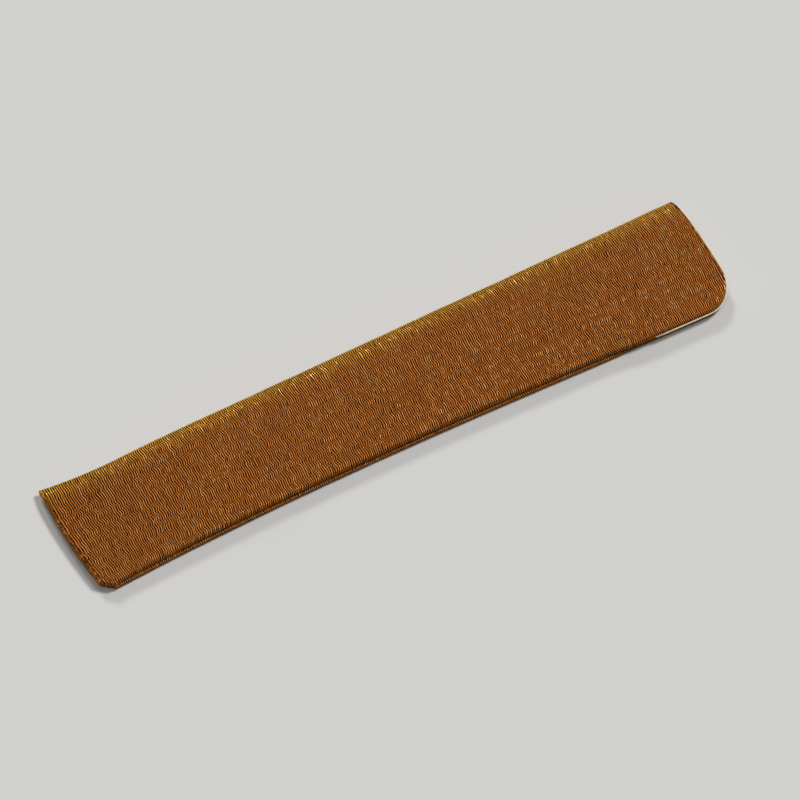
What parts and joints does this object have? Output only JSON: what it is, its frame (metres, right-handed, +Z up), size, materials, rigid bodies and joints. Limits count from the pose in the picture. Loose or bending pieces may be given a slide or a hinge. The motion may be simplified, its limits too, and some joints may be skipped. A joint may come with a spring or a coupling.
{
  "type": "folding fan sleeve",
  "caption": "Slim flat crepe cloth sleeve for a folding fan, with a folded spine, sewn edges, satin lining and a mouth with one rounded corner.",
  "frame": {"origin": "under the middle of the sleeve's box, on the surface that its back panel lies on", "axes": "+X along the sleeve from the closed end to the mouth, +Y towards the folded spine, +Z up out of the front panel"},
  "size_m": [0.2254, 0.0448, 0.0075],
  "materials": {
    "crepe": "golden brown crepe with fine wavy ribs and a soft metallic sheen",
    "felt": "off-white stiffening felt",
    "satin": "cream gold satin, smooth and shiny",
    "thread": "twisted polyester sewing thread"
  },
  "bodies": {
    "sleeve": {"back_cover": "crepe", "back_felt": "felt", "back_lining": "satin", "spine_cover": "crepe", "spine_felt": "felt", "spine_lining": "satin", "front_cover": "crepe", "front_felt": "felt", "front_lining": "satin", "side_seam_thread": "thread", "end_seam_thread": "thread", "slit_bartack": "thread"},
    "front_lip": {"lip_cover": "crepe", "lip_felt": "felt", "lip_lining": "satin"}
  },
  "joints": [
    {"name": "lip_bend", "type": "hinge", "parent": "sleeve", "child": "front_lip", "pos_m": [0.08805, -0.00518, 0.00652], "axis": [-0.8401, -0.5391, -0.0598], "range_deg": [0, 35], "stiffness_Nm_per_rad": 0.004}
  ]
}
